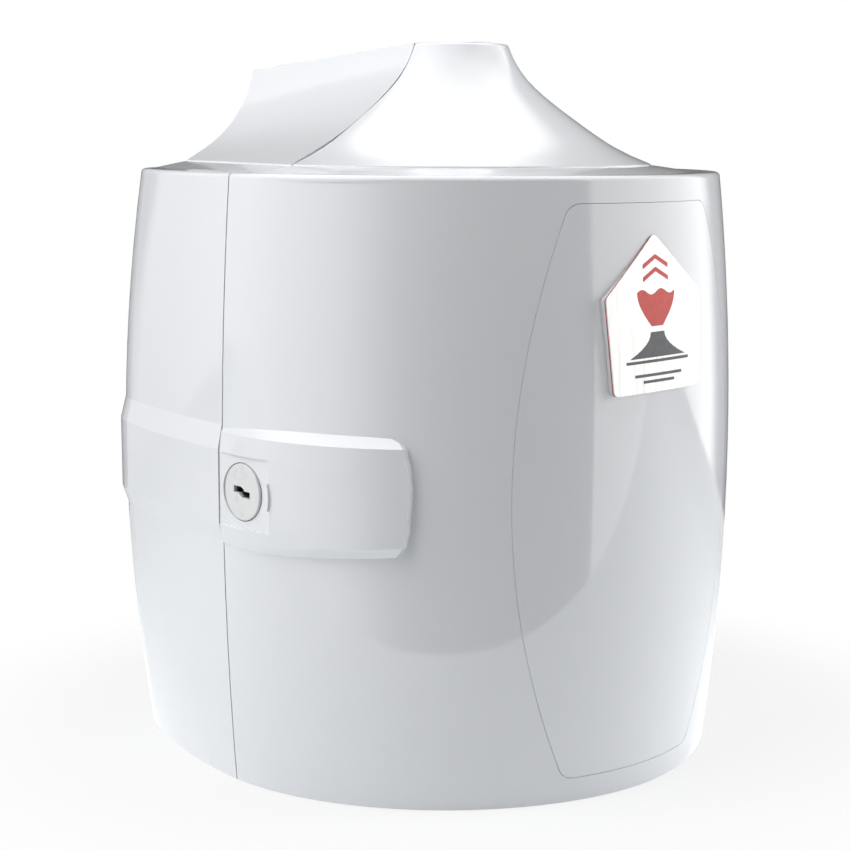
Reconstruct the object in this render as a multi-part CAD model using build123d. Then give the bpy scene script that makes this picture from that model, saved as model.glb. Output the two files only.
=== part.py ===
from build123d import *
import math
import os

# Wall-mounted wipes dispenser: a barrel-shaped housing in two glossy white shells, with a
# flared turret that the wipes are pulled out of. The rear shell is screwed to the wall. The
# front shell is a door, hinged on the right and locked on the left.
# Millimetres. X to the right, Y towards the wall, Z up. The origin is the centre of the four
# wall screw holes, on the wall face, at the waist of the barrel.

# Barrel
wall_y = 0.0
seam_y = -134.0
half_height = 142.5
waist_half_width = 138.0
end_half_width = 132.0
front_depth_waist = 134.6
front_depth_end = 126.3
wall_half_width_waist = 113.3
wall_half_width_end = 96.6
rear_corner_radius_waist = 53.0
rear_corner_radius_end = 65.0
front_roundness_waist = 1.96
front_roundness_end = 1.9
front_curve_points = 24
wall_trim = 0.05
wall = 3.0
seam_gap = 0.8
base_z = -half_height
deck_z = 135.0
deck_edge_radius = 2.2
door_lift = 0.4
station_count = 5

# Turret: a bell in front of the seam, a little flatter than round, running straight back to
# the wall. A low skirt slopes from its foot down to the deck.
turret_axis_y = seam_y - 2.0
turret_flatness = 0.91
turret_foot_z = 138.3
skirt_reach = 34.0
skirt_step = 0.5
skirt_fall = 4.6
turret_top_z = 194.5
turret_rear_top_z = 184.8
turret_top_radius = 25.2
turret_base_radius = 98.0
turret_rear_top_half = 21.2
turret_rear_base_half = 64.2
turret_edge_radius = 1.6
turret_wall_shift = 2.4
# Shares of the flare's reach and height at the points that shape it, top to foot
front_flare = ((0.0, 1.0), (0.093, 0.775), (0.302, 0.522), (0.565, 0.285), (1.0, 0.0))
rear_flare = ((0.0, 1.0), (0.08, 0.775), (0.24, 0.522), (0.5, 0.275), (1.0, 0.0))

# Raised band round the left side, with the lock in it
band_rear_top_z = 30.0
band_rear_bottom_z = -33.8
band_top_slope = 17.0
band_bottom_slope = 13.0
# Height, tilt in degrees, how far the face is sunk at the seam and along the front, and how
# far the front end is cut back, at each level of the band from its lower foot to its upper one
band_levels = (
    (-33.8, -4.6, 5.0, 5.0, 6.0),
    (-28.8, -4.4, 1.6, 0.4, 2.5),
    (-20.8, -3.4, 0.0, 0.0, 1.2),
    (2.8, 0.0, 0.0, 0.0, 0.0),
    (12.0, 0.0, 0.3, 0.0, 0.8),
    (20.8, 0.0, 1.4, 0.4, 2.8),
    (23.6, 0.4, 3.2, 3.0, 4.6),
    (25.8, 0.6, 5.0, 5.2, 8.5),
)
band_seam_x = -140.2
band_middle_x = -136.0
band_middle_y = seam_y - 40.0
band_end_x = -106.2
band_end_y = seam_y - 91.0
band_root = 12.0
band_sink = 1.2
band_rear_end = 50.0

# Lock
lock_y = seam_y - 15.8
lock_z = -4.3
lock_face_x = -139.0
lock_face_radius = 12.8
lock_face_thickness = 2.1
lock_hole_radius = 13.2
lock_boss_radius = 19.0
lock_boss_end_x = -134.5
lock_flange_radius = 18.0
lock_flange_thickness = 2.5
lock_spigot_radius = 13.0
lock_spigot_end_x = -136.6
lock_sleeve_radius = 10.0
lock_sleeve_end_x = -120.0
lock_shaft_radius = 8.0
lock_running_clearance = 0.05
lock_tang_half = 3.6
lock_tang_end_x = -116.6
lock_screw_radius = 1.0
lock_screw_length = 2.6
lock_screw_head_radius = 2.0
lock_screw_head_height = 1.4
lock_screw_short = 0.4
lock_screw_slot = (3.0, 0.6, 0.7)
lock_face_edge = 0.5
key_slot_length = 12.0
key_slot_width = 3.0
key_slot_depth = 6.0
key_slot_step = 0.9
key_middle_radius = 2.0
pad_half = 16.4
pad_depth = 0.4
pad_length = 33.8
pad_fall = 2.6
pad_clear = 6.0
cam_thickness = 2.5
cam_gap = 0.3
cam_hub_radius = 7.5
cam_hook_inner = 22.6
cam_hook_outer = 27.4
cam_arm_angle = 25.0
cam_arm_width = 8.0
cam_tip_angle = -25.0
cam_unlocked_turn = 90.0
cam_screw_head_radius = 4.2
cam_screw_head_height = 2.6
cam_screw_radius = 1.9
cam_screw_length = 9.0
cam_screw_edge = 1.0
cam_cross = (4.6, 0.9, 1.2)
cam_washer_radius = 5.6
cam_washer_thickness = 0.8

# Strike on the rear shell
strike_radius_from_lock = 18.5
strike_angle = -5.0
strike_pin_radius = 2.5
strike_plate_x = -124.0
strike_plate_thickness = 2.0
strike_pin_end_x = -114.0
strike_plate_rear_y = seam_y + 36.0
strike_plate_front_y = seam_y - 0.6
strike_boss_front_y = seam_y + 12.0
strike_half_height = 11.0
strike_corner_radius = 4.0
strike_screw_y = seam_y + 28.0
strike_screw_spacing = 12.0
strike_screw_radius = 1.4
strike_screw_bite = 7.0
strike_screw_head_radius = 3.0
strike_screw_head_height = 2.0
strike_screw_short = 1.0
strike_screw_hole_gap = 0.4
strike_cross = (3.4, 0.7, 0.8)
strike_tail_radius = 1.8

# Hinge
hinge_x = 143.5
hinge_pin_radius = 2.0
hinge_running_clearance = 0.06
hinge_press_gap = 0.02
knuckle_radius = 5.0
knuckle_heights = (95.0, -95.0)
knuckle_height = 14.0
rear_knuckle_height = 10.0
knuckle_gap = 0.4
hinge_head_radius = 3.6
hinge_head_height = 1.8
hinge_root = 1.6
rear_web_depth = 10.0
rib_reach = 9.0

# Nozzle in the top of the turret
nozzle_y = seam_y - 11.6
nozzle_hole_radius = 7.8
nozzle_inner_radius = 6.5
nozzle_flange_radius = 9.6
nozzle_flange_height = 0.8
membrane_thickness = 1.2
membrane_radius = 8.8
membrane_hole_radius = 3.4
membrane_slit_length = 11.0
membrane_slit_width = 0.4
membrane_slits = 3
retainer_thickness = 2.0
retainer_ear_x = 13.4
retainer_ear_radius = 3.8
nozzle_screw_radius = 1.1
nozzle_screw_head_radius = 2.2
nozzle_screw_head_height = 1.4
nozzle_screw_bite = 2.2
nozzle_screw_short = 0.4
nozzle_screw_slot = (3.2, 0.6, 0.6)
nozzle_edge_share = 0.6
retainer_wall = 1.0

# Front panel and label plate
panel_top_z = 123.5
panel_bottom_z = -131.0
panel_top_half = 43.0
panel_bottom_half = 41.0
panel_middle_half = 69.7
panel_middle_z = -3.0
panel_corner_radius = 8.0
panel_thickness = 1.2
panel_gap = 0.25
panel_prism_y = seam_y - 60.0
panel_prism_depth = 90.0
label_apex_z = 110.2
label_shoulder_z = 83.3
label_bottom_z = 41.0
label_shoulder_half = 30.6
label_bottom_half = 27.9
label_corner_radius = 3.0
label_middle_z = 74.5
label_face_y = seam_y - 133.0
label_face_radius = 350.0
label_slope = -3.5
label_turn = 1.2
label_edge_radius = 0.4

# Floor, roll tray and its screws
flange_width = 12.0
tray_radius = 107.0
tray_floor_z = -136.5
tray_thickness = 3.0
tray_rim_top_z = -131.5
tray_rim_thickness = 2.5
tray_boss_radius = 6.0
tray_boss_x = 62.0
tray_boss_y = seam_y + 45.0
tray_spine_y = seam_y + 50.0
tray_spine_length = 90.0
tray_spine_width = 8.0
tray_screw_radius = 1.8
tray_screw_hole_radius = 2.1
tray_screw_head_radius = 4.0
tray_screw_head_height = 2.2
tray_screw_short = 0.6
tray_cross = (5.0, 1.0, 0.9)

# Wall fixing
fixing_x = 60.0
fixing_z = 70.0
fixing_hole_radius = 2.75
fixing_boss_radius = 9.0
fixing_boss_height = 2.0

# Size of the blocks that trim other solids, how far a cut runs past the face it opens, and
# the gaps round parts that are pushed in and round screws
block_size = 800.0
overshoot = 1.0
push_gap = 0.05
screw_gap = 0.1

os.makedirs("parts", exist_ok=True)


def barrel_size(waist, end, z):
    """A size of the barrel at height z: largest at the waist, smaller at both ends."""
    return waist - (waist - end) * (z / half_height) ** 2


def front_section(z, inset):
    """Closed outline at height z, nearly an ellipse. Only its half before the seam is used."""
    half_width = barrel_size(waist_half_width, end_half_width, z) - inset
    depth = barrel_size(front_depth_waist, front_depth_end, z) - inset
    power = 2 / barrel_size(front_roundness_waist, front_roundness_end, z)
    points = []
    for i in range(front_curve_points):
        turn = 2 * math.pi * i / front_curve_points
        across = math.copysign(abs(math.cos(turn)) ** power, math.cos(turn))
        ahead = math.copysign(abs(math.sin(turn)) ** power, math.sin(turn))
        points.append((half_width * across, seam_y - depth * ahead))
    return Pos(0, 0, z) * make_face(Spline(*points, periodic=True))


def rear_section(z, inset):
    """Outline behind the seam at height z: bowed sides, round corners, flat at the wall."""
    half_width = barrel_size(waist_half_width, end_half_width, z) - inset
    wall_half = barrel_size(wall_half_width_waist, wall_half_width_end, z) - inset
    rear_y = wall_y + wall_trim - inset
    run = rear_y - seam_y
    middle = half_width - (half_width - wall_half) * 0.25
    right = ThreePointArc((half_width, seam_y), (middle, seam_y + run / 2), (wall_half, rear_y))
    back = Line((wall_half, rear_y), (-wall_half, rear_y))
    left = ThreePointArc((-wall_half, rear_y), (-middle, seam_y + run / 2), (-half_width, seam_y))
    closing = Line((-half_width, seam_y), (half_width, seam_y))
    outline = make_face([right, back, left, closing])
    corners = outline.vertices().group_by(Axis.Y)[-1]
    radius = barrel_size(rear_corner_radius_waist, rear_corner_radius_end, z)
    return Pos(0, 0, z) * fillet(corners, radius - inset)


def barrel(section, inset, low_z, high_z):
    """One half of the barrel, lofted through its sections."""
    step = (high_z - low_z) / (station_count - 1)
    heights = [low_z + step * i for i in range(station_count)]
    return loft([section(z, inset) for z in heights])


def flare_points(shares, top, base, top_z, shift):
    """Points down the hollow side of the turret, from its top edge to its foot."""
    reach = base - top
    rise = top_z - turret_foot_z
    return [(top + reach * out - shift, turret_foot_z + rise * up - shift) for out, up in shares]


def skirt_points(foot):
    """Points of the low skirt, from the foot of the turret out to below the deck."""
    out, up = foot
    return [(out, up - skirt_step), (out + skirt_reach, up - skirt_step - skirt_fall)]


def turret_front(shift, low_z):
    """The bell in front of the seam, turned about its own upright axis."""
    points = flare_points(front_flare, turret_top_radius, turret_base_radius, turret_top_z, shift)
    flare = Spline(*points, tangents=[(0.36, -0.93), (0.94, -0.34)])
    skirt = skirt_points(points[-1])
    top = Line((0, points[0][1]), points[0])
    low_end = (skirt[1][0], low_z)
    foot = Polyline(points[-1], *skirt, low_end, (0, low_z), (0, points[0][1]))
    half = Plane.XZ * make_face([flare, top, foot])
    bell = revolve(half, Axis.Z)
    if shift == 0:
        bell = fillet(bell.edges().group_by(Axis.Z)[-1], turret_edge_radius)
    bell = Pos(0, turret_axis_y, 0) * scale(bell, by=(1, turret_flatness, 1))
    return bell & before_plane(seam_y)


def turret_rear(shift, low_z):
    """The turret behind the seam: hollow-sided, its ridge falling slightly to the wall."""
    sections = []
    ends = (
        (seam_y, front_flare, turret_top_radius, turret_base_radius, turret_top_z),
        (wall_y, rear_flare, turret_rear_top_half, turret_rear_base_half, turret_rear_top_z),
    )
    for y, shares, top, base, top_z in ends:
        points = flare_points(shares, top, base, top_z, shift)
        mirrored = [(-x, z) for x, z in reversed(points)]
        right = Spline(*points, tangents=[(0.3, -0.95), (0.9, -0.44)])
        left = Spline(*mirrored, tangents=[(0.9, 0.44), (0.3, 0.95)])
        skirt = skirt_points(points[-1])
        low_end = (skirt[1][0], low_z)
        right_foot = [*skirt, low_end]
        left_foot = [(-x, z) for x, z in reversed(right_foot)]
        foot = Polyline(points[-1], *right_foot, *left_foot, mirrored[0])
        ridge = Line(mirrored[-1], points[0])
        face = make_face([right, foot, left, ridge])
        sections.append(Plane((0, y, 0), x_dir=(1, 0, 0), z_dir=(0, -1, 0)) * face)
    turret = loft(sections, ruled=True)
    return turret & extrude(rear_section(deck_z, shift), block_size / 2, both=True)


def band_plan(seam_inset, face_inset, cut_back):
    """Plan of the raised band on the left: flatter than the barrel, so it stands proud in front."""
    start = (band_seam_x + seam_inset, seam_y)
    middle = (band_middle_x + face_inset, band_middle_y)
    end = (band_end_x + face_inset * 0.7, band_end_y + face_inset * 0.7)
    whole = ThreePointArc(start, middle, end)
    share = 1 - cut_back / whole.length
    end = whole @ share
    face_curve = ThreePointArc(start, whole @ (share / 2), end)
    inner_end = (end.X + band_root, end.Y + band_root / 2)
    back = Polyline(end, inner_end, (start[0] + 2 * band_root, seam_y), start)
    return make_face([face_curve, back])


def band_front(inset):
    """Raised band on the door: soft slopes at the seam, tighter ones and a round end in front."""
    sections = []
    for z, tilt, seam_inset, face_inset, cut_back in band_levels:
        plan = band_plan(seam_inset + inset, face_inset + inset, cut_back + inset)
        toward_middle = math.copysign(inset * 0.6, -z)
        place = Pos(0, seam_y, z + toward_middle) * Rot(tilt, 0, 0) * Pos(0, -seam_y, 0)
        sections.append(place * plan)
    return loft(sections, ruled=True)


def band_rear(inset):
    """The band carried on round the rear shell, a couple of millimetres proud."""
    faces = []
    proud = -waist_half_width - band_seam_x
    levels = (
        (band_rear_bottom_z + inset, -band_sink),
        (band_rear_bottom_z + band_bottom_slope + inset * 0.4, proud),
        (band_rear_top_z - band_top_slope - inset * 0.4, proud),
        (band_rear_top_z - inset, -band_sink),
    )
    for z, out in levels:
        faces.append(rear_section(z, inset - out))
    whole = loft(faces, ruled=True)
    left_side = Pos(-block_size / 2 - band_rear_end, 0, 0) * Box(block_size, block_size, block_size)
    return whole & left_side


def before_plane(y):
    """A large block on the front side of an upright plane, for trimming."""
    return Pos(0, y - block_size / 2, 0) * Box(block_size, block_size, block_size)


def behind_plane(y):
    """A large block on the wall side of an upright plane, for trimming."""
    return Pos(0, y + block_size / 2, 0) * Box(block_size, block_size, block_size)


def cross_recess(length, width, depth):
    """Screwdriver cross to cut down along Z, centred on the outer face of a head."""
    return Box(length, width, 2 * depth) + Box(width, length, 2 * depth)


def slot_recess(length, width, depth):
    """Screwdriver slot along X to cut down along Z, centred on the outer face of a head."""
    return Box(length, width, 2 * depth)


def bar_along_x(radius, start_x, end_x, y, z):
    """A round bar that runs along X between two places."""
    middle = Pos((start_x + end_x) / 2, y, z)
    return middle * Rot(0, 90, 0) * Cylinder(radius, end_x - start_x)


def lock_bar(radius, outer_x, inner_x):
    """A round bar on the lock's axis between two places along X."""
    return bar_along_x(radius, outer_x, inner_x, lock_y, lock_z)


def panel_outline(gap):
    """Outline of the inset front panel: bowed sides and small round corners."""
    top_left = (-panel_top_half + gap, panel_top_z - gap)
    top_right = (panel_top_half - gap, panel_top_z - gap)
    low_right = (panel_bottom_half - gap, panel_bottom_z + gap)
    low_left = (-panel_bottom_half + gap, panel_bottom_z + gap)
    right = ThreePointArc(top_right, (panel_middle_half - gap, panel_middle_z), low_right)
    left = ThreePointArc(low_left, (-panel_middle_half + gap, panel_middle_z), top_left)
    outline = make_face([Line(top_left, top_right), right, Line(low_right, low_left), left])
    return fillet(outline.vertices(), panel_corner_radius - gap)


def label_outline():
    """House-shaped outline of the label plate."""
    points = [(0, label_apex_z), (label_shoulder_half, label_shoulder_z)]
    points += [(label_bottom_half, label_bottom_z), (-label_bottom_half, label_bottom_z)]
    points += [(-label_shoulder_half, label_shoulder_z)]
    outline = fillet(make_face(Polyline(*points, close=True)).vertices(), label_corner_radius)
    return Pos(0, label_middle_z) * Rot(0, 0, label_turn) * Pos(0, -label_middle_z) * outline


def front_skin(outer_inset, inner_inset):
    """The layer of the barrel's front between two depths below its surface."""
    outside = barrel(front_section, outer_inset, base_z, deck_z)
    return outside - barrel(front_section, inner_inset, base_z, deck_z)


def prism_through_front(outline):
    """Push an upright outline through the front of the barrel."""
    plane = Plane((0, panel_prism_y, 0), x_dir=(1, 0, 0), z_dir=(0, -1, 0))
    return extrude(plane * outline, panel_prism_depth)


def lock_screw_heights():
    """Heights of the two screws that hold the lock housing."""
    reach = (lock_spigot_radius + lock_flange_radius) / 2
    return (lock_z - reach, lock_z + reach)


def make_front_cover():
    low_z = base_z + door_lift
    outer = barrel(front_section, 0, base_z, deck_z)
    outer = fillet(outer.edges().group_by(Axis.Z)[-1], deck_edge_radius)
    outer = outer & before_plane(seam_y - seam_gap / 2)
    outer = outer + turret_front(0, deck_z - wall)
    outer = outer + band_front(0)
    inner = barrel(front_section, wall, base_z + wall, deck_z - wall) & before_plane(seam_y)
    inner = inner + turret_front(turret_wall_shift, deck_z - 2 * wall)
    inner = inner + band_front(wall)
    open_floor = barrel(front_section, flange_width, base_z - wall, base_z + 2 * wall)
    cover = outer - inner - open_floor
    cover = cover & before_plane(seam_y - seam_gap / 2)
    under = Pos(0, seam_y, low_z - block_size / 2) * Box(block_size, block_size, block_size)
    cover = cover - under
    boss = lock_bar(lock_boss_radius, band_seam_x + wall / 2, lock_boss_end_x)
    cover = cover + (boss & before_plane(seam_y - seam_gap / 2))
    hole_start = lock_face_x - overshoot
    cover = cover - lock_bar(lock_hole_radius, hole_start, lock_boss_end_x + overshoot)
    cover = cover - pad_cut()
    for z in lock_screw_heights():
        start_x = lock_boss_end_x - lock_screw_length
        end_x = lock_boss_end_x + overshoot
        cover = cover - bar_along_x(lock_screw_radius, start_x, end_x, lock_y, z)
    for z in knuckle_heights:
        cover = cover + door_knuckle(z)
        hole = Cylinder(hinge_pin_radius + hinge_running_clearance, 3 * knuckle_height)
        cover = cover - Pos(hinge_x, seam_y, z) * hole
    cover = cover - (front_skin(-wall, panel_thickness) & prism_through_front(panel_outline(0)))
    nozzle_hole = Cylinder(nozzle_hole_radius + push_gap, 4 * wall)
    cover = cover - Pos(0, nozzle_y, turret_top_z) * nozzle_hole
    under_top = turret_top_z - turret_wall_shift
    for x in (-retainer_ear_x, retainer_ear_x):
        middle = Pos(x, nozzle_y, under_top + nozzle_screw_bite / 2)
        cover = cover - middle * Cylinder(nozzle_screw_radius, nozzle_screw_bite)
    return cover


def pad_cut():
    """Shallow square recess round the lock, tilted to lie along the band."""
    near = (band_seam_x + pad_depth, seam_y)
    far = (near[0] + pad_fall, seam_y - pad_length)
    far_out = (far[0] - pad_clear, far[1])
    near_out = (near[0] - pad_clear, seam_y)
    outline = Polyline(near, far, far_out, near_out, close=True)
    block = extrude(make_face(outline), 2 * pad_half)
    return Pos(0, 0, lock_z - pad_half) * block


def door_knuckle(z):
    """Knuckle and web on the door for one hinge."""
    shell_x = barrel_size(waist_half_width, end_half_width, z)
    length = hinge_x - shell_x + hinge_root
    middle_x = hinge_x - length / 2
    knuckle = Pos(hinge_x, seam_y, z) * Cylinder(knuckle_radius, knuckle_height)
    front_y = seam_y - knuckle_radius
    depth = knuckle_radius - seam_gap / 2
    web = Pos(middle_x, front_y + depth / 2, z) * Box(length, depth, knuckle_height)
    rib_base = (shell_x - hinge_root, front_y - rib_reach)
    rib = Polyline(rib_base, (rib_base[0], front_y), (hinge_x - overshoot, front_y), close=True)
    rib = Pos(0, 0, z - knuckle_height / 2) * extrude(make_face(rib), knuckle_height)
    return knuckle + web + rib


def strike_screw_heights():
    """Heights of the two screws that hold the strike bracket."""
    return (lock_z - strike_screw_spacing / 2, lock_z + strike_screw_spacing / 2)


def rear_knuckles(z):
    """The two knuckles of the rear shell above and below the door's."""
    shell_x = barrel_size(waist_half_width, end_half_width, z)
    solids = []
    offset = knuckle_height / 2 + knuckle_gap + rear_knuckle_height / 2
    for side in (-1, 1):
        height = z + side * offset
        knuckle = Pos(hinge_x, seam_y, height) * Cylinder(knuckle_radius, rear_knuckle_height)
        length = hinge_x - shell_x + 2 * hinge_root
        middle = Pos(hinge_x - length / 2, seam_y + seam_gap / 2 + rear_web_depth / 2, height)
        web = middle * Box(length, rear_web_depth, rear_knuckle_height)
        solids.append(knuckle + web)
    return solids


def make_rear_shell():
    outer = barrel(rear_section, 0, base_z, deck_z)
    top_edges = outer.edges().group_by(Axis.Z)[-1]
    rim = [e for e in top_edges if e.center().Y > seam_y + 1 and e.center().Y < wall_y - 1]
    outer = fillet(rim, deck_edge_radius)
    outer = outer + turret_rear(0, deck_z - wall)
    outer = outer + band_rear(0)
    inner = barrel(rear_section, wall, base_z + wall, deck_z - wall)
    inner_turret = turret_rear(turret_wall_shift, deck_z - 2 * wall)
    inner = inner + (inner_turret & before_plane(wall_y - wall))
    shell = outer - inner
    shell = shell & behind_plane(seam_y + seam_gap / 2) & before_plane(wall_y)
    for z in knuckle_heights:
        for knuckle in rear_knuckles(z):
            shell = shell + knuckle
        hole = Cylinder(hinge_pin_radius + hinge_press_gap, 4 * knuckle_height)
        shell = shell - Pos(hinge_x, seam_y, z) * hole
    boss_length = strike_plate_rear_y - strike_boss_front_y
    boss_depth = strike_plate_x + waist_half_width - wall / 2
    boss_y = strike_boss_front_y + boss_length / 2
    boss = Pos(strike_plate_x - boss_depth / 2, boss_y, lock_z)
    shell = shell + boss * Box(boss_depth, boss_length, 2 * strike_half_height)
    for z in strike_screw_heights():
        start_x = strike_plate_x - strike_screw_bite
        end_x = strike_plate_x + overshoot
        shell = shell - bar_along_x(strike_screw_radius, start_x, end_x, strike_screw_y, z)
    for x in (-fixing_x, fixing_x):
        for z in (-fixing_z, fixing_z):
            place = Pos(x, wall_y - wall - fixing_boss_height / 2, z) * Rot(90, 0, 0)
            shell = shell + place * Cylinder(fixing_boss_radius, fixing_boss_height + 0.2)
            shell = shell - Pos(x, wall_y, z) * Rot(90, 0, 0) * Cylinder(fixing_hole_radius, 6 * wall)
    for x in (-tray_boss_x, tray_boss_x):
        shell = shell - Pos(x, tray_boss_y, base_z) * Cylinder(tray_screw_radius, 4 * wall)
    return shell


def make_roll_tray():
    disc = Pos(0, seam_y, tray_floor_z + tray_thickness / 2) * Cylinder(tray_radius, tray_thickness)
    rim_height = tray_rim_top_z - tray_floor_z
    rim = Cylinder(tray_radius, rim_height)
    rim = rim - Cylinder(tray_radius - tray_rim_thickness, 2 * rim_height)
    tray = disc + Pos(0, seam_y, tray_floor_z + rim_height / 2) * rim
    floor_top = base_z + wall
    boss_height = tray_floor_z - floor_top
    for x in (-tray_boss_x, tray_boss_x):
        place = Pos(x, tray_boss_y, floor_top + boss_height / 2)
        tray = tray + place * Cylinder(tray_boss_radius, boss_height)
        through = Cylinder(tray_screw_hole_radius, 4 * boss_height)
        tray = tray - Pos(x, tray_boss_y, tray_floor_z) * through
    spine = Pos(0, tray_spine_y, floor_top + boss_height / 2)
    return tray + spine * Box(tray_spine_width, tray_spine_length, boss_height)


def make_tray_screws():
    screws = []
    top = tray_floor_z + tray_thickness
    for x in (-tray_boss_x, tray_boss_x):
        head = Pos(x, tray_boss_y, top + tray_screw_head_height / 2)
        head = head * Cylinder(tray_screw_head_radius, tray_screw_head_height)
        length = top - base_z - tray_screw_short
        shank = Pos(x, tray_boss_y, top - length / 2) * Cylinder(tray_screw_radius, length)
        face = Pos(x, tray_boss_y, top + tray_screw_head_height)
        screws.append(head + shank - face * cross_recess(*tray_cross))
    return screws


def make_hinge_pin(z):
    reach = knuckle_height / 2 + knuckle_gap + rear_knuckle_height
    pin = Pos(hinge_x, seam_y, z) * Cylinder(hinge_pin_radius, 2 * reach)
    head = Pos(hinge_x, seam_y, z + reach + hinge_head_height / 2)
    return pin + head * Cylinder(hinge_head_radius, hinge_head_height)


def make_front_panel():
    return front_skin(0, panel_thickness) & prism_through_front(panel_outline(panel_gap))


def make_label_plate():
    """Nearly flat domed plate that bridges the curve of the panel, thicker at its sides."""
    middle = Pos(0, label_face_y, label_middle_z) * Rot(label_slope, 0, 0)
    round_face = Pos(0, label_face_radius, 0) * Cylinder(label_face_radius, 2 * half_height)
    plate = prism_through_front(label_outline()) & (middle * round_face)
    plate = plate - barrel(front_section, 0, base_z, deck_z)
    front = plate.faces().sort_by(Axis.Y)[0]
    return fillet(front.edges(), label_edge_radius)


def make_nozzle_ring():
    flange = Pos(0, nozzle_y, turret_top_z + nozzle_flange_height / 2)
    ring = flange * Cylinder(nozzle_flange_radius, nozzle_flange_height)
    ring = fillet(ring.edges().group_by(Axis.Z)[-1], nozzle_flange_height * nozzle_edge_share)
    tube_height = turret_wall_shift
    tube = Cylinder(nozzle_hole_radius, tube_height)
    ring = ring + Pos(0, nozzle_y, turret_top_z - tube_height / 2) * tube
    return ring - Pos(0, nozzle_y, turret_top_z) * Cylinder(nozzle_inner_radius, 4 * tube_height)


def make_nozzle_membrane():
    top = turret_top_z - turret_wall_shift
    through = 4 * membrane_thickness
    disc = Cylinder(membrane_radius, membrane_thickness) - Cylinder(membrane_hole_radius, through)
    slit = Box(membrane_slit_length, membrane_slit_width, through)
    for i in range(membrane_slits):
        disc = disc - Rot(0, 0, 180 * i / membrane_slits) * slit
    return Pos(0, nozzle_y, top - membrane_thickness / 2) * disc


def make_nozzle_retainer():
    top = turret_top_z - turret_wall_shift
    seat = membrane_thickness
    full = retainer_thickness + seat
    body = Cylinder(membrane_radius + retainer_wall, full)
    for x in (-retainer_ear_x, retainer_ear_x):
        body = body + Pos(x, 0, 0) * Cylinder(retainer_ear_radius, full)
        body = body + Pos(x / 2, 0, 0) * Box(retainer_ear_x, 2 * retainer_ear_radius, full)
    body = body - Pos(0, 0, full / 2) * Cylinder(membrane_radius + push_gap, 2 * seat)
    body = body - Cylinder(nozzle_inner_radius, 4 * full)
    for x in (-retainer_ear_x, retainer_ear_x):
        body = body - Pos(x, 0, 0) * Cylinder(nozzle_screw_radius + screw_gap, 4 * full)
    return Pos(0, nozzle_y, top - full / 2) * body


def make_nozzle_screws():
    screws = []
    under = turret_top_z - turret_wall_shift - membrane_thickness - retainer_thickness
    length = retainer_thickness + membrane_thickness + nozzle_screw_bite - nozzle_screw_short
    for x in (-retainer_ear_x, retainer_ear_x):
        head = Pos(x, nozzle_y, under - nozzle_screw_head_height / 2)
        head = head * Cylinder(nozzle_screw_head_radius, nozzle_screw_head_height)
        shank = Cylinder(nozzle_screw_radius - push_gap, length)
        shank = Pos(x, nozzle_y, under + length / 2) * shank
        face = Pos(x, nozzle_y, under - nozzle_screw_head_height)
        screws.append(head + shank - face * slot_recess(*nozzle_screw_slot))
    return screws


def make_lock_housing():
    flange_end = lock_boss_end_x + lock_flange_thickness
    housing = lock_bar(lock_spigot_radius, lock_spigot_end_x, lock_boss_end_x)
    housing = housing + lock_bar(lock_flange_radius, lock_boss_end_x, flange_end)
    housing = housing + lock_bar(lock_sleeve_radius, flange_end, lock_sleeve_end_x)
    housing = housing & before_plane(seam_y - seam_gap / 2)
    bore = lock_shaft_radius + lock_running_clearance
    bore_start = lock_spigot_end_x - overshoot
    housing = housing - lock_bar(bore, bore_start, lock_sleeve_end_x + overshoot)
    hole_radius = lock_screw_radius + screw_gap
    start_x = lock_boss_end_x - overshoot
    for z in lock_screw_heights():
        housing = housing - bar_along_x(hole_radius, start_x, flange_end + overshoot, lock_y, z)
    return housing


def make_lock_screws():
    screws = []
    face = lock_boss_end_x + lock_flange_thickness
    head_x = face + lock_screw_head_height
    tip_x = lock_boss_end_x - lock_screw_length + lock_screw_short
    for z in lock_screw_heights():
        head = bar_along_x(lock_screw_head_radius, face, head_x, lock_y, z)
        shank = bar_along_x(lock_screw_radius - push_gap, tip_x, face, lock_y, z)
        slot = Pos(head_x, lock_y, z) * Rot(0, 90, 0) * slot_recess(*lock_screw_slot)
        screws.append(head + shank - slot)
    return screws


def make_lock_cylinder():
    face_back = lock_face_x + lock_face_thickness
    plug = lock_bar(lock_face_radius, lock_face_x, face_back)
    rim = plug.faces().sort_by(Axis.X)[0].edges()
    plug = fillet(rim, lock_face_edge)
    shaft_end = lock_sleeve_end_x + cam_gap
    plug = plug + lock_bar(lock_shaft_radius, face_back, shaft_end)
    tang_length = lock_tang_end_x - shaft_end
    tang = Pos(shaft_end + tang_length / 2, lock_y, lock_z)
    plug = plug + tang * Box(tang_length, 2 * lock_tang_half, 2 * lock_tang_half)
    half_slot = Box(2 * key_slot_depth, key_slot_length / 2, key_slot_width)
    slot = Pos(lock_face_x, lock_y + key_slot_length / 4, lock_z + key_slot_step) * half_slot
    slot = slot + Pos(lock_face_x, lock_y - key_slot_length / 4, lock_z - key_slot_step) * half_slot
    middle = lock_bar(key_middle_radius, lock_face_x - overshoot, lock_face_x + key_slot_depth)
    hole_start = lock_tang_end_x - cam_screw_length
    hole_end = lock_tang_end_x + overshoot
    screw_hole = lock_bar(cam_screw_radius - screw_gap, hole_start, hole_end)
    return plug - slot - middle - screw_hole


def lock_point(radius, angle):
    """A point in the cam's plane at a radius and angle from the lock's axis."""
    turn = math.radians(angle)
    return (lock_y + radius * math.cos(turn), lock_z + radius * math.sin(turn))


def cam_plane(x):
    """Plane square to the lock's axis whose own axes run along Y and Z."""
    return Plane((x, 0, 0), x_dir=(0, 1, 0), z_dir=(1, 0, 0))


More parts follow.
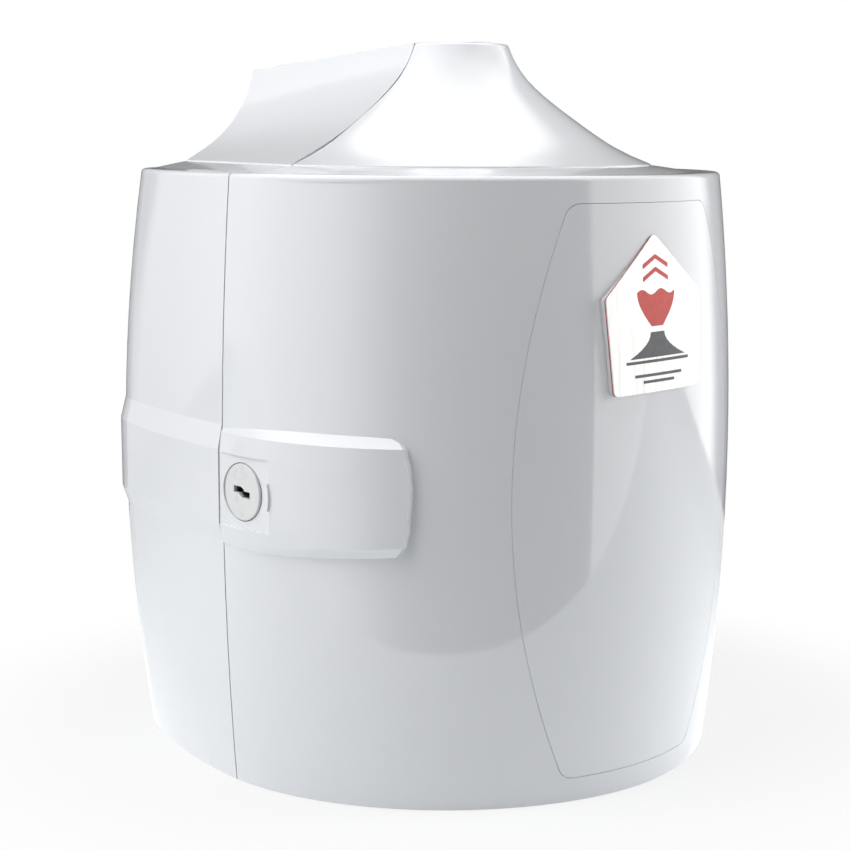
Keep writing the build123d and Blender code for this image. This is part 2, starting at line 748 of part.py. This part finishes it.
def make_lock_cam():
    start_x = lock_sleeve_end_x + cam_gap
    turn = cam_unlocked_turn
    arm_angle = cam_arm_angle + turn
    tip_angle = cam_tip_angle + turn
    middle_angle = (arm_angle + tip_angle) / 2
    outer = ThreePointArc(
        lock_point(cam_hook_outer, arm_angle),
        lock_point(cam_hook_outer, middle_angle),
        lock_point(cam_hook_outer, tip_angle),
    )
    inner = ThreePointArc(
        lock_point(cam_hook_inner, tip_angle),
        lock_point(cam_hook_inner, middle_angle),
        lock_point(cam_hook_inner, arm_angle),
    )
    hook = make_face([outer, Line(outer @ 1, inner @ 0), inner, Line(inner @ 1, outer @ 0)])
    arm_length = cam_hook_outer - 0.6
    arm = Pos(arm_length / 2, 0) * Rectangle(arm_length, cam_arm_width)
    arm = Pos(lock_y, lock_z) * Rot(0, 0, arm_angle) * arm
    hub = Pos(lock_y, lock_z) * Circle(cam_hub_radius)
    opening = Pos(lock_y, lock_z) * Rectangle(2 * lock_tang_half, 2 * lock_tang_half)
    outline = hub + arm + hook - opening
    return extrude(cam_plane(start_x) * outline, cam_thickness)


def make_cam_washer():
    far_x = lock_tang_end_x + cam_washer_thickness
    washer = lock_bar(cam_washer_radius, lock_tang_end_x, far_x)
    hole_radius = cam_screw_radius + 2 * screw_gap
    return washer - lock_bar(hole_radius, lock_tang_end_x - overshoot, far_x + overshoot)


def make_cam_screw():
    head_x = lock_tang_end_x + cam_washer_thickness
    screw = lock_bar(cam_screw_head_radius, head_x, head_x + cam_screw_head_height)
    screw = fillet(screw.faces().sort_by(Axis.X)[-1].edges(), cam_screw_edge)
    screw = screw + lock_bar(cam_screw_radius - screw_gap, head_x - cam_screw_length, head_x)
    face = Pos(head_x + cam_screw_head_height, lock_y, lock_z)
    return screw - face * Rot(0, 90, 0) * cross_recess(*cam_cross)


def strike_place():
    """Where the strike pin stands, from the lock's axis."""
    return lock_point(strike_radius_from_lock, strike_angle)


def make_strike_bracket():
    pin_y, pin_z = strike_place()
    length = strike_plate_rear_y - strike_plate_front_y
    x = strike_plate_x + strike_plate_thickness / 2
    plate = Pos(x, strike_plate_front_y + length / 2, lock_z)
    plate = plate * Box(strike_plate_thickness, length, 2 * strike_half_height)
    plate = fillet(plate.edges().filter_by(Axis.X), strike_corner_radius)
    start_x = strike_plate_x - overshoot
    end_x = strike_plate_x + strike_plate_thickness + overshoot
    plate = plate - bar_along_x(strike_tail_radius, start_x, end_x, pin_y, pin_z)
    hole_radius = strike_screw_radius + strike_screw_hole_gap
    for z in strike_screw_heights():
        plate = plate - bar_along_x(hole_radius, start_x, end_x, strike_screw_y, z)
    return plate


def make_strike_pin():
    pin_y, pin_z = strike_place()
    face_x = strike_plate_x + strike_plate_thickness
    pin = bar_along_x(strike_pin_radius, face_x, strike_pin_end_x, pin_y, pin_z)
    return pin + bar_along_x(strike_tail_radius, strike_plate_x, face_x, pin_y, pin_z)


def make_strike_screws():
    screws = []
    face_x = strike_plate_x + strike_plate_thickness
    head_x = face_x + strike_screw_head_height
    tip_x = strike_plate_x - strike_screw_bite + strike_screw_short
    cross = Rot(0, 90, 0) * cross_recess(*strike_cross)
    for z in strike_screw_heights():
        head = bar_along_x(strike_screw_head_radius, face_x, head_x, strike_screw_y, z)
        shank = bar_along_x(strike_screw_radius, tip_x, face_x, strike_screw_y, z)
        screws.append(head + shank - Pos(head_x, strike_screw_y, z) * cross)
    return screws


def save(name, shape):
    """Write one piece, or a group of like pieces, as a node."""
    if isinstance(shape, list):
        shape = Compound(children=shape)
    export_step(shape, f"parts/{name}.step")


save("back_shell", make_rear_shell())
save("roll_tray", make_roll_tray())
save("tray_screws", make_tray_screws())
save("strike_bracket", make_strike_bracket())
save("strike_pin", make_strike_pin())
save("strike_screws", make_strike_screws())
save("hinge_pin_upper", make_hinge_pin(knuckle_heights[0]))
save("hinge_pin_lower", make_hinge_pin(knuckle_heights[1]))
save("front_cover", make_front_cover())
save("front_panel", make_front_panel())
save("label_plate", make_label_plate())
save("nozzle_ring", make_nozzle_ring())
save("nozzle_membrane", make_nozzle_membrane())
save("nozzle_retainer", make_nozzle_retainer())
save("nozzle_screws", make_nozzle_screws())
save("lock_housing", make_lock_housing())
save("lock_screws", make_lock_screws())
save("lock_cylinder", make_lock_cylinder())
save("lock_cam", make_lock_cam())
save("cam_washer", make_cam_washer())
save("cam_screw", make_cam_screw())
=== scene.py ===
import bpy
import math
from mathutils import Matrix, Vector


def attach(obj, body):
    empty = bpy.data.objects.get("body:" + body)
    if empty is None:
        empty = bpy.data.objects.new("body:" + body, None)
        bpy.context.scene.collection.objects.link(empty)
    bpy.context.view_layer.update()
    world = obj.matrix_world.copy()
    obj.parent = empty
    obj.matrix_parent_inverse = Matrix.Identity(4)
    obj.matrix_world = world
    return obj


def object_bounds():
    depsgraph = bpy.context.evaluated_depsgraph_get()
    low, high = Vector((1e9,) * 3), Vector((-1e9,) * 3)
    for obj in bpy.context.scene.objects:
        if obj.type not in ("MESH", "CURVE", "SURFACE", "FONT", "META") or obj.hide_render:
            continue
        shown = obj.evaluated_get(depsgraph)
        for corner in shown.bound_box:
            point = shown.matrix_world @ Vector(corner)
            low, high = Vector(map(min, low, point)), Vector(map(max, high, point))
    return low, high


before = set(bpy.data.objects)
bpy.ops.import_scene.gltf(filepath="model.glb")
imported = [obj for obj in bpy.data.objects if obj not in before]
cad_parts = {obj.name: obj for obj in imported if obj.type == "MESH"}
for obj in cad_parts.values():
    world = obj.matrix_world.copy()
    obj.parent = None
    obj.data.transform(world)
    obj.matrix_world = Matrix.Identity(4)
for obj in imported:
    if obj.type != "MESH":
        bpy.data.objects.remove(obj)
cad_low, cad_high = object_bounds()

# Housing
# The two shells and the panel set into the front are moulded in white ABS with a polished skin.
# The door hangs on the rear shell, and the panel sits flush in it, so only its fine outline shows.
grain_low = 0.25
grain_high = 0.75
grain_detail = 3.0


class Shade:
    """A socket in a node tree. Sums on it are written as ordinary expressions."""

    def __init__(self, tree, socket=None):
        self.tree = tree
        self.socket = socket

    def node(self, kind, settings, inputs, output=0):
        """Add a node with its settings, then feed its sockets with values or other sockets."""
        node = self.tree.nodes.new(kind)
        for name, value in settings.items():
            setattr(node, name, value)
        for name, value in inputs.items():
            if isinstance(value, Shade):
                self.tree.links.new(value.socket, node.inputs[name])
            else:
                node.inputs[name].default_value = value
        return Shade(self.tree, node.outputs[output])

    def maths(self, operation, first, second=0.0):
        return self.node("ShaderNodeMath", {"operation": operation}, {0: first, 1: second})

    def __add__(self, other):
        return self.maths("ADD", self, other)

    __radd__ = __add__

    def __sub__(self, other):
        return self.maths("SUBTRACT", self, other)

    def __rsub__(self, other):
        return self.maths("SUBTRACT", other, self)

    def __mul__(self, other):
        return self.maths("MULTIPLY", self, other)

    __rmul__ = __mul__

    def rise(self, low, high):
        """0 below low and 1 above high, smooth between."""
        settings = {"interpolation_type": "SMOOTHSTEP"}
        ends = {"Value": self, "From Min": low, "From Max": high}
        return self.node("ShaderNodeMapRange", settings, ends, "Result")

    def between(self, low, high):
        """A colour from low to high, by this value. Each is three numbers or a socket."""
        ends = {"Factor": self}
        for name, end in (("A", low), ("B", high)):
            ends[name] = end if isinstance(end, Shade) else (*end, 1)
        return self.node("ShaderNodeMix", {"data_type": "RGBA"}, ends, "Result")

    def place(self):
        """The object's own coordinates."""
        return self.node("ShaderNodeTexCoord", {}, {}, "Object")

    def part(self, axis):
        """One coordinate of this vector."""
        return self.node("ShaderNodeSeparateXYZ", {}, {0: self}, axis)

    def grain(self, scale, stretch):
        """Noise from 0 to 1 over the object, drawn out along an axis by a small stretch."""
        drawn = self.node("ShaderNodeMapping", {}, {"Vector": self.place(), "Scale": stretch})
        inputs = {"Vector": drawn, "Scale": scale, "Detail": grain_detail}
        return self.node("ShaderNodeTexNoise", {}, inputs, "Fac")

    def feed(self, socket):
        self.tree.links.new(self.socket, socket)


def surface(name, base, shaded, scale, roughness, spread, bump,
            stretch=(1, 1, 1), metallic=0.0, coat=0.0, paint=None):
    """A material that varies finely in colour, roughness and height. Paint changes its colour."""
    material = bpy.data.materials.new(name)
    material.use_nodes = True
    shader = material.node_tree.nodes["Principled BSDF"]
    shader.inputs["Metallic"].default_value = metallic
    shader.inputs["Coat Weight"].default_value = coat
    grain = Shade(material.node_tree).grain(scale, stretch)
    skin = grain.rise(grain_low, grain_high).between(shaded, base)
    if paint:
        skin = paint(skin)
    skin.feed(shader.inputs["Base Color"])
    (grain * spread + (roughness - spread / 2)).feed(shader.inputs["Roughness"])
    height = {"Strength": 1.0, "Distance": bump, "Height": grain}
    grain.node("ShaderNodeBump", {}, height).feed(shader.inputs["Normal"])
    return material


def dress(material, *names):
    """Give CAD nodes their material."""
    for name in names:
        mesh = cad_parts[name].data
        mesh.materials.clear()
        mesh.materials.append(material)


white_gloss = surface("white gloss ABS", (0.856, 0.872, 0.897), (0.843, 0.860, 0.886),
                      scale=9.0, roughness=0.055, spread=0.02, bump=0.00002)
dress(white_gloss, "front_cover", "back_shell", "front_panel")

# Roll tray, nozzle ring and nozzle retainer
# Hidden or small mouldings in a matt white plastic, as they come from the mould. The tray is
# screwed to the floor of the rear shell, and the retainer holds the rubber under the turret's top.
white_matt = surface("white matt ABS", (0.80, 0.81, 0.82), (0.775, 0.785, 0.80),
                     scale=120.0, roughness=0.42, spread=0.08, bump=0.00005)
dress(white_matt, "roll_tray", "nozzle_ring", "nozzle_retainer")

# Nozzle membrane
# A disc of soft grey rubber, moulded with slits that grip the wipe while it is torn off. It lies
# in the seat of the retainer, which two screws hold up against the top of the turret.
grey_rubber = surface("grey rubber", (0.50, 0.51, 0.52), (0.44, 0.45, 0.46),
                      scale=200.0, roughness=0.6, spread=0.1, bump=0.0001)
dress(grey_rubber, "nozzle_membrane")

# Screws, pins, cam and strike
# Small steel parts, bright with a fine cloudiness. The pins are turned, the screws and washer are
# zinc plated, and the cam and the strike's bracket are pressed from plated sheet. The cam is
# screwed to the lock's plug, and the bracket to a boss inside the rear shell.
zinc_steel = surface("zinc steel", (0.64, 0.64, 0.65), (0.54, 0.54, 0.56),
                     scale=300.0, roughness=0.32, spread=0.12, bump=0.00002, metallic=1.0)
dress(zinc_steel, "tray_screws", "strike_bracket", "strike_pin", "strike_screws",
      "hinge_pin_upper", "hinge_pin_lower", "nozzle_screws", "lock_screws", "lock_cam",
      "cam_washer", "cam_screw")

# Lock
# The plug and its housing are moulded in pale grey plastic with a satin skin. The plug's face
# sits in the pad of the band, and its key slot is painted dark a little way in, as painted shade in
# the recess.
# Depths along X over which the key slot turns to painted shade, and the shade's colour
slot_shade_from = -0.1384
slot_shade_to = -0.1366
slot_painted_shade = (0.05, 0.05, 0.055)


def paint_slot_shade(skin):
    """Paint the inside of the key slot, behind the face, dark as painted shade in the recess."""
    return skin.place().part("X").rise(slot_shade_from, slot_shade_to).between(skin, slot_painted_shade)


lock_grey = surface("lock grey", (0.80, 0.815, 0.81), (0.765, 0.78, 0.775),
                    scale=150.0, roughness=0.28, spread=0.06, bump=0.00003, paint=paint_slot_shade)
dress(lock_grey, "lock_housing", "lock_cylinder")

# Label plate
# A five-sided plate of brushed metal, glued to the panel. Its front is a little domed, and its
# edge is painted with a red line, a painted reflection of the red print, and a dark line of painted
# shadow, in front of the pale glue pad behind.
plate_front_y = -0.267
plate_middle_z = 0.0745
plate_dome_radius = 0.35
plate_lean = math.radians(3.5)
plate_turn = math.radians(1.2)
# The edge's red is a painted reflection of the red print, and its dark grey is a painted shadow
edge_red_reflection = (0.60, 0.08, 0.05)
edge_painted_shadow = (0.10, 0.10, 0.11)
edge_glue = (0.62, 0.62, 0.63)
# Depths behind the face over which the edge turns to the painted red reflection, the painted shadow
# and the glue pad
red_reflection_depths = (0.00022, 0.00030)
edge_shadow_depths = (0.00050, 0.00060)
edge_glue_depths = (0.00085, 0.00100)


def paint_edge_reflection_and_shadow(skin):
    """Colour the plate's side wall by how far it lies behind the domed face: a painted red
    reflection, a painted shadow, then the pale glue pad.
    """
    place = skin.place()
    x = place.part("X")
    lean = (place.part("Z") - plate_middle_z) * math.tan(plate_lean)
    depth = place.part("Y") - plate_front_y - x * x * (0.5 / plate_dome_radius) - lean
    edged = depth.rise(*red_reflection_depths).between(skin, edge_red_reflection)
    edged = depth.rise(*edge_shadow_depths).between(edged, edge_painted_shadow)
    return depth.rise(*edge_glue_depths).between(edged, edge_glue)


plate_silver = surface("brushed silver", (0.72, 0.712, 0.695), (0.56, 0.555, 0.54),
                       scale=600.0, roughness=0.55, spread=0.14, bump=0.00001,
                       stretch=(1, 1, 0.02), metallic=0.85, paint=paint_edge_reflection_and_shadow)
dress(plate_silver, "label_plate")

# Label artwork
# Signs printed on the plate in red and dark grey ink, thick enough to catch the light: two
# arrows upwards, a wipe that comes out of a turret, a line under the turret and two more below.
ink_thickness = 0.0002
same_place = 0.00001
red_ink = surface("red ink", (0.62, 0.055, 0.04), (0.54, 0.045, 0.035),
                  scale=300.0, roughness=0.35, spread=0.08, bump=0.00001)
grey_ink = surface("dark grey ink", (0.065, 0.067, 0.075), (0.05, 0.052, 0.06),
                   scale=300.0, roughness=0.35, spread=0.08, bump=0.00001)


def ink_sheet(name, width, height, middle, columns, rows):
    """A flat upright grid about the plate's middle, ready to be shaped."""
    bpy.ops.object.select_all(action="DESELECT")
    bpy.ops.mesh.primitive_grid_add(x_subdivisions=columns, y_subdivisions=rows, size=1,
                                    location=(0, 0, middle), rotation=(math.pi / 2, 0, 0))
    piece = bpy.context.object
    piece.name = name
    piece.scale = (width, height, 1)
    bpy.ops.object.transform_apply(location=True, rotation=True, scale=True)
    return piece


def pick(test):
    """In edit mode, select the points of the active piece whose place passes a test."""
    bpy.ops.object.mode_set(mode="EDIT")
    bpy.ops.mesh.select_mode(type="VERT")
    bpy.ops.mesh.select_all(action="DESELECT")
    bpy.ops.object.mode_set(mode="OBJECT")
    for point in bpy.context.object.data.vertices:
        point.select = test(point.co)
    bpy.ops.object.mode_set(mode="EDIT")


def near(value, target):
    return abs(value - target) < same_place


def print_on_plate(piece, ink):
    """Turn a sheet with the plate, lay it on the domed face and give the ink its thickness."""
    bpy.ops.object.mode_set(mode="OBJECT")
    piece.location = (0, 2 * plate_front_y, plate_middle_z)
    piece.rotation_euler = (0, -plate_turn, 0)
    bpy.ops.object.transform_apply(location=True, rotation=True, scale=True)
    onto = piece.modifiers.new("onto the plate", "SHRINKWRAP")
    onto.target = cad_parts["label_plate"]
    onto.wrap_method = "PROJECT"
    onto.use_project_y = True
    onto.use_positive_direction = True
    bpy.ops.object.modifier_apply(modifier=onto.name)
    thick = piece.modifiers.new("ink", "SOLIDIFY")
    thick.thickness = ink_thickness
    thick.offset = 0.0
    bpy.ops.object.modifier_apply(modifier=thick.name)
    piece.data.materials.append(ink)
    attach(piece, "cover")


arrow_half = 0.0080
arrow_stroke = 0.0020
arrow_rise = 0.0042
arrow_columns = 8
arrow_rows = 2
for name, middle in (("label_arrow_upper", 0.0215), ("label_arrow_lower", 0.0160)):
    arrow = ink_sheet(name, 2 * arrow_half, arrow_stroke, middle, arrow_columns, arrow_rows)
    for column in range(arrow_columns + 1):
        x = -arrow_half + 2 * arrow_half * column / arrow_columns
        pick(lambda co: near(co.x, x))
        bpy.ops.transform.translate(value=(0, 0, arrow_rise * (1 - abs(x) / arrow_half)))
    print_on_plate(arrow, red_ink)

wipe_width = 0.0240
wipe_height = 0.0150
wipe_middle = 0.0030
wipe_columns = 24
wipe_rows = 8
wipe_wave = 0.0012
wipe_neck_share = 0.30
wipe = ink_sheet("label_wipe", wipe_width, wipe_height, wipe_middle, wipe_columns, wipe_rows)
for column in range(wipe_columns + 1):
    x = -wipe_width / 2 + wipe_width * column / wipe_columns
    pick(lambda co: near(co.x, x) and near(co.z, wipe_middle + wipe_height / 2))
    bpy.ops.transform.translate(value=(0, 0, wipe_wave * math.sin(4 * math.pi * x / wipe_width)))
for row in range(wipe_rows):
    z = wipe_middle - wipe_height / 2 + wipe_height * row / wipe_rows
    share = wipe_neck_share + (1 - wipe_neck_share) * math.sin(math.pi / 2 * row / wipe_rows)
    pick(lambda co: near(co.z, z))
    bpy.ops.transform.resize(value=(share, 1, 1))
print_on_plate(wipe, red_ink)

turret_base = 0.0360
turret_height = 0.0110
turret_middle = -0.0125
turret_columns = 12
turret_rows = 6
turret_top_share = 0.24
turret = ink_sheet("label_turret", turret_base, turret_height, turret_middle,
                   turret_columns, turret_rows)
for row in range(turret_rows + 1):
    z = turret_middle - turret_height / 2 + turret_height * row / turret_rows
    share = turret_top_share + (1 - turret_top_share) * (1 - row / turret_rows) ** 2
    pick(lambda co: near(co.z, z))
    bpy.ops.transform.resize(value=(share, 1, 1))
print_on_plate(turret, grey_ink)

line_height = 0.0013
line_columns = 16
for name, width, middle in (("label_line_base", 0.0400, -0.0196),
                            ("label_line_long", 0.0300, -0.0256),
                            ("label_line_short", 0.0200, -0.0284)):
    line = ink_sheet(name, width, line_height, middle, line_columns, 1)
    bpy.ops.object.mode_set(mode="EDIT")
    bpy.ops.mesh.select_all(action="SELECT")
    bpy.ops.mesh.subdivide(number_cuts=1)
    print_on_plate(line, grey_ink)

# Floor
# A white table: a soft shadow near the object, plain white further off. In reflections it is
# bright between straight edges in front and behind, square to the camera, as in a studio.
seam_y = -0.134
floor_radius = 3.0
floor_vertices = 128
floor_colour = (0.82, 0.83, 0.84, 1)
shadow_radius = 0.14
plain_radius = 0.30
# How much of the floor shows as plain white near the object, and how much more far off
plain_near = 0.78
plain_more = 0.22
# The camera's heading over the floor, and the table's edges and brightness along it
heading_x = 0.66
heading_y = 0.751
front_edge = (-0.4105, -0.4045)
rear_edge = (0.36, 0.42)
table_dimming = (-0.2, 0.3)
table_front_strength = 1.7
table_strength_fall = 1.0
table_colour = (0.95, 0.98, 1.0, 1)

bpy.ops.object.select_all(action="DESELECT")
bpy.ops.mesh.primitive_circle_add(vertices=floor_vertices, radius=floor_radius, fill_type="NGON",
                                  location=(0, 0, cad_low.z))
floor = bpy.context.object
floor.name = "floor"
table_white = bpy.data.materials.new("white table")
table_white.use_nodes = True
table = Shade(table_white.node_tree)
table.tree.nodes.clear()
position = table.node("ShaderNodeNewGeometry", {}, {}, "Position")
floor_x = position.part("X")
floor_y = position.part("Y")
camera_ray = table.node("ShaderNodeLightPath", {}, {}, "Is Camera Ray")
glossy_ray = table.node("ShaderNodeLightPath", {}, {}, "Is Glossy Ray")
lit = table.node("ShaderNodeBsdfDiffuse", {}, {"Color": floor_colour})
plain = table.node("ShaderNodeEmission", {}, {"Color": (1, 1, 1, 1), "Strength": 1.0})
distance = floor_x * floor_x + (floor_y - seam_y) * (floor_y - seam_y)
far_off = distance.rise(shadow_radius ** 2, plain_radius ** 2)
plain_share = (far_off * plain_more + plain_near) * camera_ray
seen = table.node("ShaderNodeMixShader", {}, {0: plain_share, 1: lit, 2: plain})
away = floor_x * heading_x + floor_y * heading_y
on_table = away.rise(*front_edge) * (1 - away.rise(*rear_edge))
brightness = table_front_strength - away.rise(*table_dimming) * table_strength_fall
top = table.node("ShaderNodeEmission", {}, {"Color": table_colour, "Strength": brightness})
beyond = table.node("ShaderNodeBsdfTransparent", {}, {})
table_mirrored = table.node("ShaderNodeMixShader", {}, {0: on_table, 1: beyond, 2: top})
table_shader = table.node("ShaderNodeMixShader", {}, {0: glossy_ray, 1: seen, 2: table_mirrored})
table_output = table.tree.nodes.new("ShaderNodeOutputMaterial")
table_shader.feed(table_output.inputs["Surface"])
floor.data.materials.append(table_white)

# Light
# Five soft lamps of different strength stand round the object. They light it plainly, and the
# gloss shows the studio round them instead: a bright ceiling, and a screen on each side.
lamp_size = 0.9
lamp_distance = 1.4
studio = bpy.context.scene
for name, azimuth, elevation, watts in (
    ("left lamp", 100, 50, 11.2),
    ("left low lamp", 92, 15, 2.4),
    ("back left lamp", 130, 15, 2.2),
    ("right lamp", -52, 15, 12.6),
    ("overhead lamp", 0, 88, 7.0),
):
    turn = math.radians(azimuth)
    lift = math.radians(elevation)
    level = math.cos(lift)
    outward = Vector((-math.sin(turn) * level, -math.cos(turn) * level, math.sin(lift)))
    light = bpy.data.lights.new(name, "AREA")
    light.shape = "SQUARE"
    light.size = lamp_size
    light.energy = watts
    lamp = bpy.data.objects.new(name, light)
    studio.collection.objects.link(lamp)
    lamp.location = Vector((0, seam_y, 0)) + outward * lamp_distance
    lamp.rotation_euler = outward.to_track_quat("Z", "Y").to_euler()
    lamp.visible_glossy = False

# Where the ceiling and the screens begin and end, in degrees up from level and round from the
# front, positive to the left
ceiling_edge = (35, 55)
right_screen_near_edge = (-17, -14)
right_screen_far_edge = (-100, -85)
left_screen_near_edge = (52, 88)
left_screen_dimming = (125, 168)
left_screen_far_edge = (172, 179)
left_screen_dimmed = 0.65
ceiling_strength = 4.0
right_screen_strength = 2.7
left_screen_strength = 2.0
room_strength = 0.08

world = bpy.data.worlds.new("studio")
world.use_nodes = True
studio.world = world
room = Shade(world.node_tree)
room.tree.nodes.clear()
direction = room.node("ShaderNodeTexCoord", {}, {}, "Generated")
degree = 180 / math.pi
round_from_front = room.maths("ARCTAN2", direction.part("X") * -1, direction.part("Y") * -1) * degree
up_from_level = room.maths("ARCSINE", direction.part("Z")) * degree
ceiling = up_from_level.rise(*ceiling_edge)
right_screen = 1 - round_from_front.rise(*right_screen_near_edge)
right_screen = right_screen * round_from_front.rise(*right_screen_far_edge) * (1 - ceiling)
left_screen = round_from_front.rise(*left_screen_near_edge)
left_screen = left_screen * (1 - round_from_front.rise(*left_screen_dimming) * left_screen_dimmed)
left_screen = left_screen * (1 - round_from_front.rise(*left_screen_far_edge)) * (1 - ceiling)
glossy_ray = room.node("ShaderNodeLightPath", {}, {}, "Is Glossy Ray")
camera_ray = room.node("ShaderNodeLightPath", {}, {}, "Is Camera Ray")
room_mirrored = ceiling * ceiling_strength + right_screen * right_screen_strength
room_mirrored = (room_mirrored + left_screen * left_screen_strength + room_strength) * glossy_ray
background = room.node("ShaderNodeBackground", {}, {"Color": (1, 1, 1, 1),
                                                    "Strength": room_mirrored + camera_ray})
room_output = room.tree.nodes.new("ShaderNodeOutputWorld")
background.feed(room_output.inputs["Surface"])

# Camera
# It stands in front on the left, a little above the deck and dipped a little, as the
# photograph's does. Its angles are in radians.
camera_place = (-0.61038, -0.80885, 0.15324)
camera_turn = -0.7207
camera_dip = 0.1564
camera_roll = 0.005
sensor_width = 36.0
focal_length = 78.81
lens = bpy.data.cameras.new("camera")
lens.sensor_width = sensor_width
lens.lens = focal_length
camera = bpy.data.objects.new("camera", lens)
studio.collection.objects.link(camera)
camera.matrix_world = (
    Matrix.Translation(camera_place)
    @ Matrix.Rotation(camera_turn, 4, "Z")
    @ Matrix.Rotation(math.pi / 2 - camera_dip, 4, "X")
    @ Matrix.Rotation(camera_roll, 4, "Z")
)
studio.camera = camera
studio.view_settings.view_transform = "Standard"
